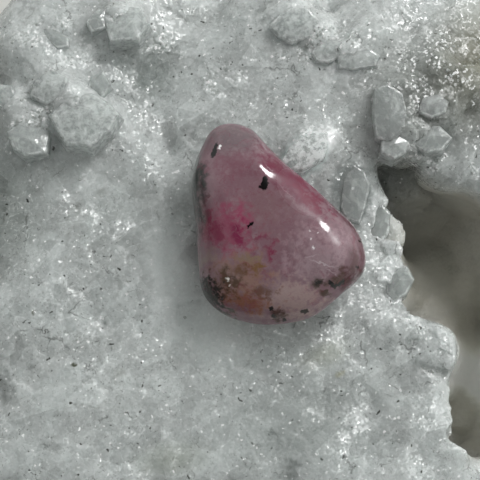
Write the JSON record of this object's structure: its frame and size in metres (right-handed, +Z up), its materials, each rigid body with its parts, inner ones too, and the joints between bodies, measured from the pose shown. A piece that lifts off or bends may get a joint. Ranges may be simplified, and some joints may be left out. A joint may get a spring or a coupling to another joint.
{
  "type": "rhodonite pebble on a quartz bed",
  "caption": "Polished pink pebble resting on a broken bed of milky quartz crystals with raised clumps and a deep hollow at one side",
  "frame": {"origin": "on the flat cut underneath, below the middle of the object's box", "axes": "+Z up out of the crystal bed; +X to the right and +Y away from a viewer who has the deep hollow on the right"},
  "size_m": [0.0794, 0.0782, 0.0361],
  "materials": {
    "rhodonite": "tumbled and polished, translucent pink with white veils, ochre stains and black specks",
    "quartz": "natural milky translucent quartz with glittering crystal faces and dark specks"
  },
  "bodies": {
    "root": {"rhodonite": "rhodonite", "quartz": "quartz"}
  },
  "joints": []
}
